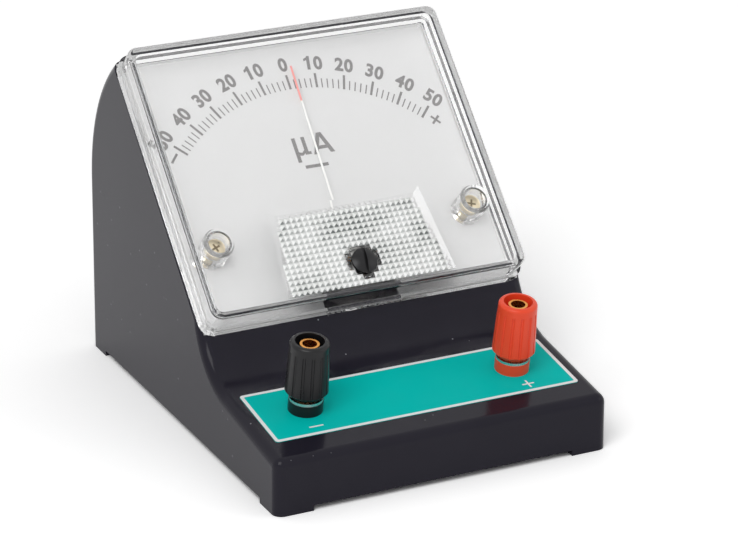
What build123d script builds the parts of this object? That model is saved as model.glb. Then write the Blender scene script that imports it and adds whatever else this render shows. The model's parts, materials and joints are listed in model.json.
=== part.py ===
from build123d import *
import math
import os

# Student galvanometer with a sloping dial, two screw terminals on a ledge and a moving-coil movement.
# All sizes are millimetres and degrees. x runs to the right seen from the front, y to the back and
# z up. z = 0 is the surface that it stands on, and x = y = 0 is the middle of its footprint.

# Housing
WIDTH = 100.0
DEPTH = 130.0
WALL = 2.5
DRAFT = 0.45
RIM_RADIUS = 2.8
FRONT_HEIGHT = 16.0
LEDGE_LENGTH = 33.4
LEDGE_ANGLE = 8.4
BEND_RADIUS = 21.1
BEND_END_ANGLE = 63.3
FACE_ANGLE = 45.0
SHOULDER = 20.0
BACK_RADIUS = 50.0
FOOT_HEIGHT = 1.6
FOOT_WIDTH = 11.0
FOOT_LENGTH = 10.5
DECK = 2.0

# Base cover and its screws
BASE_THICKNESS = 2.4
BASE_LIFT = 0.3
BASE_CORNER_RADIUS = 1.5
FIT_GAP = 0.25
PILLAR_RADIUS = 3.6
BACK_PILLAR_HEIGHT = 30.0
SCREW_RADIUS = 1.45
PILOT_RADIUS = 1.5
SCREW_HEAD_RADIUS = 2.7
SCREW_LENGTH = 11.0

# Clear meter cover
COVER_INSET = 1.85
COVER_WIDTH = WIDTH - 2 * COVER_INSET
COVER_DEPTH = 10.0
COVER_WALL = 2.1
COVER_CORNER_RADIUS = 3.0
COVER_EDGE_RADIUS = 1.2
FLANGE_PROUD = 1.0
FLANGE_DEPTH = 3.0

# Screw posts of the cover, with their screws
POST_FROM_SIDE = 8.65
POST_X = COVER_WIDTH / 2 - POST_FROM_SIDE
POST_UP = 22.1
POST_RADIUS = 4.4
COUNTERBORE_RADIUS = 3.1
COUNTERBORE_DEPTH = 5.8
COUNTERBORE_MOUTH = 0.8
COVER_SCREW_HEAD_RADIUS = 2.7
COVER_SCREW_HEAD = 1.6
COVER_SCREW_LENGTH = 12.0
SHANK_GAP = 0.15
BOSS_LENGTH = 8.0
BOSS_RADIUS = 3.2

# Prismatic window, a pocket in the cover that deepens towards its top edge
WINDOW_LOW = 2.2
WINDOW_HIGH = 28.6
WINDOW_HALF_LOW = 25.9
WINDOW_HALF_HIGH = 23.2
WINDOW_DEPTH_LOW = 0.55
WINDOW_DEPTH_HIGH = 1.5
WINDOW_CHEEK_ANGLE = 60.0
PRISM_PITCH = 1.7
PRISM_HEIGHT = 0.5
PRISM_COLUMNS = 30
PRISM_ROWS = 16

# Zero adjuster in the cover
ADJUSTER_UP = 9.3
ADJUSTER_HEAD_RADIUS = 3.7
ADJUSTER_PROUD = 1.0
ADJUSTER_SEAT_RADIUS = 4.8
ADJUSTER_SEAT_DEPTH = 0.9
ADJUSTER_BOSS_END = 3.2
ADJUSTER_STEM_RADIUS = 2.0
ADJUSTER_LIP = 0.4
ADJUSTER_LIP_THICKNESS = 0.5
ADJUSTER_SLOT_WIDTH = 0.9
ADJUSTER_SLOT_DEPTH = 1.1
ADJUSTER_SLOT_ANGLE = -8.0
PIN_RADIUS = 0.6
PIN_OFFSET = 0.9
RUNNING_GAP = 0.05
PLAY = 0.1

# Dial plate
DIAL_THICKNESS = 0.8
DIAL_MARGIN = 0.85
DIAL_GAP = 0.2
NOTCH_HALF = 11.5
NOTCH_UP = 31.0
NOTCH_RADIUS = 1.5

# Moving-coil movement, measured from the pivot and back from the face of the cover
PIVOT_UP = 16.05
REST_READING_ANGLE = 1.6
SWING = 49.0
NEEDLE_GAP = 1.5
NEEDLE_WIDTH = 0.5
NEEDLE_THICKNESS = 0.3
NEEDLE_SIDE_GAP = 1.9
NEEDLE_TOP_GAP = 5.0
HUB_RADIUS = 1.5
HUB_THICKNESS = 0.8
ARM_WIDTH = 0.8
TAIL_REACH = 9.4
SIDE_REACH = 5.0
WEIGHT_RADIUS = 1.5
TAIL_WEIGHT_AT = 5.8
SIDE_WEIGHT_RADIUS = 0.9
SIDE_WEIGHT_THICKNESS = 0.8
SIDE_WEIGHT_AT = 3.8
BRASS_TO_ALUMINIUM = 8.5 / 2.7
CORE_RADIUS = 6.0
CORE_LENGTH = 10.0
CORE_FRONT = 13.3
YOKE_INNER_RADIUS = 8.0
YOKE_OUTER_RADIUS = 13.0
COIL_GAP = 0.4
COIL_END_GAP = 0.7
FORMER_THICKNESS = 0.3
FORMER_WIDTH = 2.4
WINDING_THICKNESS = 0.6
WINDING_WIDTH = 2.1
PIVOT_SHAFT_RADIUS = 0.4
PIVOT_FLANGE_RADIUS = 1.1
PIVOT_FLANGE_THICKNESS = 0.4
TONGUE_HALF_ANGLE = 24.0
TONGUE_GAP = 0.03
FRAME_THICKNESS = 2.0
FRAME_WIDTH = 46.0
FRAME_HEIGHT = 26.0
FRAME_CORNER_RADIUS = 2.0
FRAME_SCREW_X = 19.0
DECK_OPENING_HALF = 14.0
DECK_OPENING_LOW = 2.5
DECK_OPENING_HIGH = 30.0
BRIDGE_FRONT = 5.2
BRIDGE_THICKNESS = 1.2
BRIDGE_HALF = 10.7
BRIDGE_HEIGHT = 5.0
BRIDGE_POST_X = 9.4
BRIDGE_POST_RADIUS = 1.1
BRIDGE_SCREW_HEAD_RADIUS = 1.5
BRIDGE_SCREW_HEAD = 0.9
REAR_BRIDGE_GAP = 3.5
JEWEL_RADIUS = 1.5
JEWEL_FLANGE_RADIUS = 2.1
JEWEL_FLANGE_THICKNESS = 0.5
JEWEL_REACH = 0.6
JEWEL_CUP_RADIUS = 0.6
PIVOT_TIP = 0.7
LEVER_THICKNESS = 0.5
LEVER_RING_RADIUS = 2.7
LEVER_ARM_HALF = 1.7
FORK_PLAY = 0.15
FORK_REACH = 8.6
SPRING_INNER_RADIUS = 1.0
SPRING_PITCH = 0.9
SPRING_HALF_TURNS = 7
SPRING_THICKNESS = 0.15
SPRING_HEIGHT = 0.4
SPRING_TO_BRIDGE = 0.9
ANCHOR_THICKNESS = 0.5
ANCHOR_WIDTH = 1.2
STOP_PIN_RADIUS = 0.6
STOP_PIN_AT = 8.9
LUG_RADIUS = 2.6
LUG_THICKNESS = 0.5
LUG_BEYOND_FRAME = 1.5
LUG_TAIL_WIDTH = 2.0

# Label plate on the ledge
LABEL_SIDE = 4.3
LABEL_WIDTH = WIDTH - 2 * LABEL_SIDE
LABEL_LENGTH = 24.4
LABEL_FRONT = 9.0
LABEL_THICKNESS = 0.5
LABEL_PROUD = 0.1
LABEL_CORNER_RADIUS = 1.0

# Terminals, with heights above the label
TERMINAL_FROM_END = 14.3
TERMINAL_X = LABEL_WIDTH / 2 - TERMINAL_FROM_END
TERMINAL_BACK = 21.7
STUD_RADIUS = 2.65
STUD_LOWER_RADIUS = 2.5
SOCKET_RADIUS = 2.0
SOCKET_DEPTH = 16.0
STUD_TOP = 20.3
STUD_BOTTOM = -12.0
STUD_HOLE_GAP = 0.2
COLLAR_RADIUS = 4.8
COLLAR_HEIGHT = 3.3
WASHER_RADIUS = 4.7
WASHER_THICKNESS = 0.8
CAP_GAP = 0.6
CAP_HEIGHT = 16.5
CAP_FOOT_RADIUS = 4.6
CAP_RADIUS = 5.95
CAP_TOP_RADIUS = 5.35
CAP_FOOT_HEIGHT = 1.5
CAP_RIM_RADIUS = 1.0
CAP_RECESS_RADIUS = 4.0
CAP_RECESS_DEPTH = 3.2
FLUTES = 14
FLUTE_RADIUS = 0.45
FLUTE_DEPTH = 0.28
FLUTE_BELOW_TOP = 2.6
INSERT_RADIUS = 3.8
INSERT_LENGTH = 8.0
INSERT_ABOVE_FOOT = 2.5
INNER_WASHER_RADIUS = 5.0
INNER_WASHER_THICKNESS = 1.5
TAG_RADIUS = 4.2
TAG_THICKNESS = 0.5
TAG_TAIL = 9.0
TAG_TAIL_WIDTH = 2.4
NUT_ACROSS_FLATS = 8.0
NUT_THICKNESS = 3.0
WIRE_RADIUS = 0.7
WIRE_RUN = 7.5


def sin(angle):
    """Sine of an angle in degrees."""
    return math.sin(math.radians(angle))


def cos(angle):
    """Cosine of an angle in degrees."""
    return math.cos(math.radians(angle))


def tan(angle):
    """Tangent of an angle in degrees."""
    return math.tan(math.radians(angle))


# Where the ledge, the bend, the face and the back meet, as (y, z)
FRONT_Y = -DEPTH / 2
LEDGE_END = (FRONT_Y + LEDGE_LENGTH, FRONT_HEIGHT + LEDGE_LENGTH * tan(LEDGE_ANGLE))
BEND_CENTRE = (
    LEDGE_END[0] - BEND_RADIUS * sin(LEDGE_ANGLE),
    LEDGE_END[1] + BEND_RADIUS * cos(LEDGE_ANGLE),
)
SEAT_LOW = (
    BEND_CENTRE[0] + BEND_RADIUS * sin(BEND_END_ANGLE),
    BEND_CENTRE[1] - BEND_RADIUS * cos(BEND_END_ANGLE),
)
SEAT_LENGTH = (DEPTH / 2 - SHOULDER - SEAT_LOW[0]) / cos(FACE_ANGLE)
COVER_LENGTH = SEAT_LENGTH - 2 * FLANGE_PROUD
SEAT_WIDTH = COVER_WIDTH + 2 * FLANGE_PROUD
DIAL_WIDTH = SEAT_WIDTH - 2 * DIAL_MARGIN
DIAL_HEIGHT = SEAT_LENGTH - 2 * DIAL_MARGIN
SEAT_HIGH = (
    SEAT_LOW[0] + SEAT_LENGTH * cos(FACE_ANGLE),
    SEAT_LOW[1] + SEAT_LENGTH * sin(FACE_ANGLE),
)
FACE_LOW = (
    SEAT_LOW[0] + FLANGE_PROUD * cos(FACE_ANGLE) - COVER_DEPTH * sin(FACE_ANGLE),
    SEAT_LOW[1] + FLANGE_PROUD * sin(FACE_ANGLE) + COVER_DEPTH * cos(FACE_ANGLE),
)
BACK_CENTRE_Y = DEPTH / 2 - BACK_RADIUS
BACK_CENTRE = (
    BACK_CENTRE_Y,
    SEAT_HIGH[1] - math.sqrt(BACK_RADIUS**2 - (SEAT_HIGH[0] - BACK_CENTRE_Y) ** 2),
)

# The face frame lies on the front of the cover: x to the right, y up the slope, z out of the face.
FACE = Plane(
    origin=(0, FACE_LOW[0], FACE_LOW[1]),
    x_dir=(1, 0, 0),
    z_dir=(0, -sin(FACE_ANGLE), cos(FACE_ANGLE)),
).location
PIVOT = FACE * Pos(0, PIVOT_UP, 0)

# The ledge frame starts at the ledge's front edge: x to the right, y back along the ledge, z off it.
LEDGE = Plane(
    origin=(0, FRONT_Y, FRONT_HEIGHT),
    x_dir=(1, 0, 0),
    z_dir=(0, -sin(LEDGE_ANGLE), cos(LEDGE_ANGLE)),
).location

# Depths behind the face, worked out once
SEAT = COVER_DEPTH
DIAL_BACK = SEAT + DIAL_THICKNESS
DECK_BACK = DIAL_BACK + DECK
NEEDLE_DEPTH = SEAT - NEEDLE_GAP
CORE_BACK = CORE_FRONT + CORE_LENGTH
FRAME_BACK = CORE_BACK + FRAME_THICKNESS
COIL_FRONT = CORE_FRONT - COIL_END_GAP - FORMER_THICKNESS - WINDING_THICKNESS
COIL_BACK = CORE_BACK + COIL_END_GAP + FORMER_THICKNESS + WINDING_THICKNESS
BRIDGE_BACK = BRIDGE_FRONT + BRIDGE_THICKNESS
REAR_BRIDGE_FRONT = FRAME_BACK + REAR_BRIDGE_GAP
REAR_BRIDGE_BACK = REAR_BRIDGE_FRONT + BRIDGE_THICKNESS
LUG_TAIL = FRAME_HEIGHT / 2 + LUG_BEYOND_FRAME
NEEDLE_REACH = min(
    (COVER_WIDTH / 2 - COVER_WALL - NEEDLE_SIDE_GAP) / sin(SWING),
    COVER_LENGTH - COVER_WALL - NEEDLE_TOP_GAP - PIVOT_UP,
)
LEVER_BACK = BRIDGE_FRONT - PLAY
LEVER_FRONT = LEVER_BACK - LEVER_THICKNESS
SPRING_OUTER_RADIUS = SPRING_INNER_RADIUS + SPRING_PITCH * SPRING_HALF_TURNS / 2
ANCHOR_AT = SPRING_OUTER_RADIUS + SPRING_THICKNESS + ANCHOR_THICKNESS / 2

# Heights of the terminal stack above the label
WASHER_TOP = COLLAR_HEIGHT + WASHER_THICKNESS
CAP_BOTTOM = WASHER_TOP + CAP_GAP
CAP_TOP = CAP_BOTTOM + CAP_HEIGHT
LEDGE_UNDERSIDE = -LABEL_PROUD - WALL
INNER_WASHER_BOTTOM = LEDGE_UNDERSIDE - INNER_WASHER_THICKNESS
TAG_BOTTOM = INNER_WASHER_BOTTOM - TAG_THICKNESS
NUT_BOTTOM = TAG_BOTTOM - NUT_THICKNESS


def spool(radius, low, high, x=0.0, y=0.0):
    """A round bar along z between two heights."""
    return Pos(x, y, (low + high) / 2) * Cylinder(radius, high - low)


def bar(radius, front, back, x=0.0, y=0.0):
    """A round bar between two depths behind the face."""
    return spool(radius, -back, -front, x, y)


def slab(width, height, front, back, x=0.0, y=0.0):
    """A block between two depths behind the face, centred on x and y."""
    return Pos(x, y, -(front + back) / 2) * Box(width, height, back - front)


def ring(outer, inner, low, high, x=0.0, y=0.0):
    """A round tube along z between two heights."""
    return spool(outer, low, high, x, y) - spool(inner, low, high, x, y)


def turned(points):
    """A solid of revolution about z from (radius, height) points."""
    outline = Polyline(*[(radius, 0, height) for radius, height in points], close=True)
    return revolve(make_face(outline), Axis.Z)


def mirrored(make):
    """The same solid on the left and on the right, kept apart."""
    return Compound(children=[make(-1), make(1)])


def face_depth_point(centre, radius, depth):
    """The upper point where a circle about centre meets the plane at a depth behind the face."""
    from_face = (centre[0] - FACE_LOW[0], centre[1] - FACE_LOW[1])
    up = from_face[0] * cos(FACE_ANGLE) + from_face[1] * sin(FACE_ANGLE)
    back = from_face[0] * sin(FACE_ANGLE) - from_face[1] * cos(FACE_ANGLE)
    along = up + math.sqrt(radius**2 - (depth - back) ** 2)
    return (
        FACE_LOW[0] + along * cos(FACE_ANGLE) + depth * sin(FACE_ANGLE),
        FACE_LOW[1] + along * sin(FACE_ANGLE) - depth * cos(FACE_ANGLE),
    )


def arc_between(centre, radius, start, end):
    """The short arc about a centre from start to end."""
    middle = ((start[0] + end[0]) / 2 - centre[0], (start[1] + end[1]) / 2 - centre[1])
    reach = radius / math.hypot(*middle)
    through = (centre[0] + middle[0] * reach, centre[1] + middle[1] * reach)
    return ThreePointArc(start, through, end)


def side_outline(inset, depth):
    """The housing seen from its side, moved in by inset, with its face at a depth behind the cover."""
    front = FRONT_Y + inset
    back = DEPTH / 2 - inset
    ledge_front = (front, FRONT_HEIGHT + inset * tan(LEDGE_ANGLE) - inset / cos(LEDGE_ANGLE))
    ledge_end = (LEDGE_END[0] + inset * sin(LEDGE_ANGLE), LEDGE_END[1] - inset * cos(LEDGE_ANGLE))
    seat_low = face_depth_point(BEND_CENTRE, BEND_RADIUS + inset, depth)
    seat_high = face_depth_point(BACK_CENTRE, BACK_RADIUS - inset, depth)
    back_top = (back, BACK_CENTRE[1])
    lines = [
        Line((back, 0), (front, 0)),
        Line((front, 0), ledge_front),
        Line(ledge_front, ledge_end),
        arc_between(BEND_CENTRE, BEND_RADIUS + inset, ledge_end, seat_low),
        Line(seat_low, seat_high),
        arc_between(BACK_CENTRE, BACK_RADIUS - inset, seat_high, back_top),
        Line(back_top, (back, 0)),
    ]
    return Plane.YZ * make_face(Curve() + lines)


def prism(inset, depth):
    """The side outline drawn across the width, with its two sides leaning in by the draft."""
    half = WIDTH / 2 - inset
    top = SEAT_HIGH[1] + BACK_RADIUS
    lean = top * tan(DRAFT)
    upright = Polyline((-half, 0), (half, 0), (half - lean, top), (-half + lean, top), close=True)
    across = extrude(Plane.XZ * make_face(upright), DEPTH, both=True)
    return across & extrude(side_outline(inset, depth), WIDTH, both=True)


def is_rim(edge):
    """True for the outer edges of the housing, apart from its foot and the seat of the cover."""
    middle = edge.center()
    from_face = (middle.Y - FACE_LOW[0]) * sin(FACE_ANGLE) - (middle.Z - FACE_LOW[1]) * cos(FACE_ANGLE)
    on_seat = abs(from_face - SEAT) < PLAY
    on_side = abs(middle.X) > WIDTH / 2 - WALL and middle.Z > PLAY and not on_seat
    on_front = math.hypot(middle.Y - FRONT_Y, middle.Z - FRONT_HEIGHT) < PLAY
    return on_side or on_front


def housing_form():
    """The outer form of the housing with its edges rounded."""
    form = prism(0, SEAT)
    return fillet(form.edges().filter_by(is_rim), RIM_RADIUS)


def base_screw_places():
    """The middles of the four base screws."""
    x = WIDTH / 2 - WALL - PILLAR_RADIUS + FIT_GAP
    y = DEPTH / 2 - WALL - PILLAR_RADIUS + FIT_GAP
    return [(side * x, end * y) for side in (-1, 1) for end in (-1, 1)]


def pillars():
    """Four pillars in the corners that take the base screws."""
    low = FOOT_HEIGHT + BASE_LIFT + BASE_THICKNESS
    return [
        spool(PILLAR_RADIUS, low, FRONT_HEIGHT if y < 0 else BACK_PILLAR_HEIGHT, x, y)
        for x, y in base_screw_places()
    ]


def housing():
    """Moulded shell, open below and behind the dial, with feet, pillars and bosses."""
    outside = housing_form()
    shell = outside - prism(WALL, DECK_BACK)
    for pillar in pillars():
        shell += pillar & outside
    for side in (-1, 1):
        shell += FACE * bar(BOSS_RADIUS, DECK_BACK, DECK_BACK + BOSS_LENGTH, side * POST_X, POST_UP)
        shell += PIVOT * bar(BOSS_RADIUS, DECK_BACK, CORE_BACK, side * FRAME_SCREW_X)
    shell -= FACE * slab(
        DIAL_WIDTH + 2 * DIAL_GAP, DIAL_HEIGHT + 2 * DIAL_GAP, SEAT, DIAL_BACK, y=COVER_LENGTH / 2
    )
    shell -= FACE * slab(
        2 * DECK_OPENING_HALF,
        DECK_OPENING_HIGH - DECK_OPENING_LOW,
        SEAT,
        DECK_BACK + PLAY,
        y=(DECK_OPENING_HIGH + DECK_OPENING_LOW) / 2,
    )
    for side in (-1, 1):
        shell -= FACE * bar(PILOT_RADIUS, SEAT, DECK_BACK + BOSS_LENGTH, side * POST_X, POST_UP)
        shell -= PIVOT * bar(PILOT_RADIUS, CORE_BACK - BOSS_LENGTH, CORE_BACK, side * FRAME_SCREW_X)
        shell -= LEDGE * spool(
            STUD_LOWER_RADIUS + STUD_HOLE_GAP, -2 * WALL, WALL, side * TERMINAL_X, TERMINAL_BACK
        )
    for x, y in base_screw_places():
        shell -= spool(PILOT_RADIUS, 0, SCREW_LENGTH + FOOT_HEIGHT + BASE_LIFT + 1, x, y)
    shell -= LEDGE * label_block(LABEL_THICKNESS - LABEL_PROUD, 0, FIT_GAP / 2)
    shell -= Box(WIDTH - 2 * FOOT_WIDTH, 2 * DEPTH, 2 * FOOT_HEIGHT)
    shell -= Box(2 * WIDTH, DEPTH - 2 * FOOT_LENGTH, 2 * FOOT_HEIGHT)
    return shell


def label_block(below, above, gap):
    """The label's form in the ledge frame, with a gap all round."""
    outline = RectangleRounded(LABEL_WIDTH + 2 * gap, LABEL_LENGTH + 2 * gap, LABEL_CORNER_RADIUS)
    return Pos(0, LABEL_FRONT + LABEL_LENGTH / 2, -below) * extrude(outline, below + above)


def label_plate():
    """Thin plate let into the ledge, with a hole for each stud."""
    plate = label_block(LABEL_THICKNESS - LABEL_PROUD, LABEL_PROUD, 0)
    for side in (-1, 1):
        plate -= spool(
            STUD_LOWER_RADIUS + STUD_HOLE_GAP, -WALL, WALL, side * TERMINAL_X, TERMINAL_BACK
        )
    return LEDGE * plate


def base_cover():
    """Flat plate that closes the housing from below, with countersunk screw holes."""
    low = FOOT_HEIGHT + BASE_LIFT
    inset = WALL + FIT_GAP
    outline = RectangleRounded(WIDTH - 2 * inset, DEPTH - 2 * inset, BASE_CORNER_RADIUS)
    plate = Pos(0, 0, low) * extrude(outline, BASE_THICKNESS)
    for x, y in base_screw_places():
        plate -= Pos(x, y, low) * countersunk(SHANK_GAP, BASE_THICKNESS + 1)
    return plate


def countersunk(gap, length):
    """A screw's form with its head downwards at z = 0, made larger by a gap."""
    head = SCREW_HEAD_RADIUS + gap
    shank = SCREW_RADIUS + gap
    return turned([(0, 0), (head, 0), (shank, head - shank), (shank, length), (0, length)])


def base_screws():
    """Four countersunk screws up into the pillars."""
    low = FOOT_HEIGHT + BASE_LIFT
    screws = [Pos(x, y, low) * countersunk(0, SCREW_LENGTH) for x, y in base_screw_places()]
    return Compound(children=screws)


def window_pocket():
    """The pocket of the window: slanted cheeks, and a floor that sinks towards the top."""
    cut = WINDOW_DEPTH_HIGH + WINDOW_DEPTH_LOW
    inward = cut * tan(WINDOW_CHEEK_ANGLE)
    mouth = trapezoid(0, 0)
    bottom = trapezoid(inward, -cut)
    funnel = loft([mouth, bottom], ruled=True)
    length = WINDOW_HIGH - WINDOW_LOW
    floor = [
        (WINDOW_LOW, 1),
        (WINDOW_HIGH, 1),
        (WINDOW_HIGH, -WINDOW_DEPTH_HIGH),
        (WINDOW_LOW, -WINDOW_DEPTH_LOW),
    ]
    wedge = extrude(Plane.YZ * make_face(Polyline(*floor, close=True)), 2 * length, both=True)
    return (funnel & wedge) - prism_field()


def prism_field():
    """Rows of small square pyramids that stand on the window's floor."""
    slope = (WINDOW_DEPTH_HIGH - WINDOW_DEPTH_LOW) / (WINDOW_HIGH - WINDOW_LOW)
    lean = math.degrees(math.atan(slope))
    columns = ridges(PRISM_COLUMNS, PRISM_ROWS * PRISM_PITCH)
    rows = Rot(0, 0, 90) * ridges(PRISM_ROWS, PRISM_COLUMNS * PRISM_PITCH)
    middle = PRISM_ROWS * PRISM_PITCH / 2
    return Pos(0, WINDOW_LOW, -WINDOW_DEPTH_LOW) * Rot(-lean, 0, 0) * Pos(0, middle, 0) * (columns & rows)


def ridges(count, length):
    """A slab with ridges along y, side by side, with the valleys between them at z = 0."""
    start = -count * PRISM_PITCH / 2
    points = [(start, -PRISM_HEIGHT), (start, 0)]
    for index in range(count):
        points.append((start + (index + 0.5) * PRISM_PITCH, PRISM_HEIGHT))
        points.append((start + (index + 1) * PRISM_PITCH, 0))
    points.append((-start, -PRISM_HEIGHT))
    return extrude(Plane.XZ * make_face(Polyline(*points, close=True)), length / 2, both=True)


def trapezoid(inset, height):
    """The window's outline in the face frame, moved in and set at a height."""
    low = WINDOW_LOW
    high = WINDOW_HIGH - inset
    corners = [
        (-WINDOW_HALF_LOW + inset, low),
        (WINDOW_HALF_LOW - inset, low),
        (WINDOW_HALF_HIGH - inset, high),
        (-WINDOW_HALF_HIGH + inset, high),
    ]
    return Pos(0, 0, height) * make_face(Polyline(*corners, close=True))


def meter_cover():
    """Clear box lid with rear flange, screw posts, window pocket and adjuster seat."""
    middle = COVER_LENGTH / 2
    box = extrude(RectangleRounded(COVER_WIDTH, COVER_LENGTH, COVER_CORNER_RADIUS), -COVER_DEPTH)
    box = fillet(box.edges().group_by(Axis.Z)[-1], COVER_EDGE_RADIUS)
    flange = Pos(0, 0, -COVER_DEPTH) * extrude(
        RectangleRounded(SEAT_WIDTH, SEAT_LENGTH, COVER_CORNER_RADIUS + FLANGE_PROUD), FLANGE_DEPTH
    )
    room = Pos(0, 0, -COVER_DEPTH) * extrude(
        RectangleRounded(
            COVER_WIDTH - 2 * COVER_WALL,
            COVER_LENGTH - 2 * COVER_WALL,
            COVER_CORNER_RADIUS - COVER_WALL / 2,
        ),
        COVER_DEPTH - COVER_WALL,
    )
    lid = Pos(0, middle, 0) * (box + flange - room)
    for side in (-1, 1):
        lid += bar(POST_RADIUS, COVER_WALL, COVER_DEPTH, side * POST_X, POST_UP)
    lid -= window_pocket()
    lid += bar(ADJUSTER_SEAT_RADIUS, ADJUSTER_SEAT_DEPTH, ADJUSTER_BOSS_END, y=ADJUSTER_UP)
    lid -= bar(ADJUSTER_SEAT_RADIUS, -1, ADJUSTER_SEAT_DEPTH, y=ADJUSTER_UP)
    lid -= bar(ADJUSTER_STEM_RADIUS + RUNNING_GAP, 0, COVER_DEPTH, y=ADJUSTER_UP)
    for side in (-1, 1):
        lid -= Pos(side * POST_X, POST_UP, 0) * counterbore()
    return FACE * lid


def counterbore():
    """The hole for a cover screw, with a widened mouth."""
    wide = COUNTERBORE_RADIUS
    shank = SCREW_RADIUS + SHANK_GAP
    return turned(
        [
            (0, 0),
            (wide + COUNTERBORE_MOUTH, 0),
            (wide, -COUNTERBORE_MOUTH),
            (wide, -COUNTERBORE_DEPTH),
            (shank, -COUNTERBORE_DEPTH),
            (shank, -COVER_DEPTH),
            (0, -COVER_DEPTH),
        ]
    )


def cover_screws():
    """Two screws through the cover and the dial plate into the housing."""

    def one(side):
        head_front = COUNTERBORE_DEPTH - COVER_SCREW_HEAD
        head = bar(COVER_SCREW_HEAD_RADIUS, head_front, COUNTERBORE_DEPTH)
        shank = bar(SCREW_RADIUS, COUNTERBORE_DEPTH, COUNTERBORE_DEPTH + COVER_SCREW_LENGTH)
        return FACE * Pos(side * POST_X, POST_UP, 0) * (head + shank)

    return mirrored(one)


def dial_plate():
    """Sheet clamped between cover and housing, cut out in front of the movement."""
    plate = slab(DIAL_WIDTH, DIAL_HEIGHT, SEAT, DIAL_BACK, y=COVER_LENGTH / 2)
    notch_height = 2 * NOTCH_UP
    notch = extrude(RectangleRounded(2 * NOTCH_HALF, notch_height, NOTCH_RADIUS), -2 * COVER_DEPTH)
    plate -= notch
    for side in (-1, 1):
        plate -= bar(SCREW_RADIUS + SHANK_GAP, SEAT, DIAL_BACK, side * POST_X, POST_UP)
    return FACE * plate


def zero_adjuster():
    """Domed head with a screwdriver slot, stem, retaining lip and eccentric pin."""
    under = ADJUSTER_SEAT_DEPTH - RUNNING_GAP
    height = ADJUSTER_PROUD + under
    dome_radius = (ADJUSTER_HEAD_RADIUS**2 + ADJUSTER_PROUD**2) / (2 * ADJUSTER_PROUD)
    dome = Pos(0, 0, ADJUSTER_PROUD - dome_radius) * Sphere(dome_radius)
    head = bar(ADJUSTER_HEAD_RADIUS, -height, under) & dome
    slot = Rot(0, 0, ADJUSTER_SLOT_ANGLE) * Pos(0, 0, ADJUSTER_PROUD) * Box(
        ADJUSTER_SLOT_WIDTH, 3 * ADJUSTER_HEAD_RADIUS, 2 * ADJUSTER_SLOT_DEPTH
    )
    lip_front = ADJUSTER_BOSS_END + RUNNING_GAP
    lip_back = lip_front + ADJUSTER_LIP_THICKNESS
    stem = bar(ADJUSTER_STEM_RADIUS, under, lip_back)
    lip = bar(ADJUSTER_STEM_RADIUS + ADJUSTER_LIP, lip_front, lip_back)
    pin = bar(PIN_RADIUS, lip_back, LEVER_BACK + LEVER_THICKNESS, y=PIN_OFFSET)
    return FACE * Pos(0, ADJUSTER_UP, 0) * (head - slot + stem + lip + pin)


def zero_lever():
    """Sheet ring with a fork for the eccentric pin and a tab that holds the front hairspring."""
    blank = bar(LEVER_RING_RADIUS, LEVER_FRONT, LEVER_BACK)
    blank += slab(2 * LEVER_ARM_HALF, FORK_REACH, LEVER_FRONT, LEVER_BACK, y=-FORK_REACH / 2)
    arm = ANCHOR_AT + ANCHOR_THICKNESS / 2
    blank += slab(ANCHOR_WIDTH, arm, LEVER_FRONT, LEVER_BACK, y=arm / 2)
    tab_back = BRIDGE_BACK + SPRING_TO_BRIDGE + SPRING_HEIGHT
    blank += slab(ANCHOR_WIDTH, ANCHOR_THICKNESS, LEVER_FRONT, tab_back, y=ANCHOR_AT)
    slot = PIN_RADIUS + FORK_PLAY
    pin_at = PIVOT_UP - ADJUSTER_UP - PIN_OFFSET
    slot_length = FORK_REACH - pin_at + slot + PLAY
    slot_middle = -pin_at + slot - slot_length / 2
    blank -= slab(2 * slot, slot_length, LEVER_FRONT, LEVER_BACK, y=slot_middle)
    blank -= bar(JEWEL_RADIUS + RUNNING_GAP, LEVER_FRONT, LEVER_BACK)
    return PIVOT * blank


def hairspring(depth):
    """Flat spiral of half turns about two centres, seen from the front."""
    spiral = None
    for half in range(SPRING_HALF_TURNS):
        radius = SPRING_INNER_RADIUS + half * SPRING_PITCH / 2
        centre = 0 if half % 2 == 0 else SPRING_PITCH / 2
        side = 1 if half % 2 == 0 else -1
        whole = Circle(radius + SPRING_THICKNESS) - Circle(radius)
        reach = 2 * SPRING_OUTER_RADIUS
        keep = Pos(0, side * reach / 2) * Rectangle(2 * reach, reach)
        turn = extrude(Pos(centre, 0) * (whole & keep), SPRING_HEIGHT)
        spiral = turn if spiral is None else spiral + turn
    return Pos(0, 0, -depth - SPRING_HEIGHT) * spiral


def front_hairspring():
    """Spring between the front pivot and the zero lever."""
    return PIVOT * Rot(0, 0, 90) * hairspring(BRIDGE_BACK + SPRING_TO_BRIDGE)


def rear_hairspring():
    """Spring between the rear pivot and the rear bridge."""
    return PIVOT * Rot(0, 0, 90) * hairspring(REAR_BRIDGE_FRONT - SPRING_TO_BRIDGE - SPRING_HEIGHT)


def front_bridge():
    """Strip across the movement that holds the front jewel screw."""
    strip = slab(2 * BRIDGE_HALF, BRIDGE_HEIGHT, BRIDGE_FRONT, BRIDGE_BACK)
    strip -= bar(JEWEL_RADIUS, BRIDGE_FRONT, BRIDGE_BACK)
    for side in (-1, 1):
        strip -= bar(BRIDGE_POST_RADIUS / 2, BRIDGE_FRONT, BRIDGE_BACK, side * BRIDGE_POST_X)
    return PIVOT * strip


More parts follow.
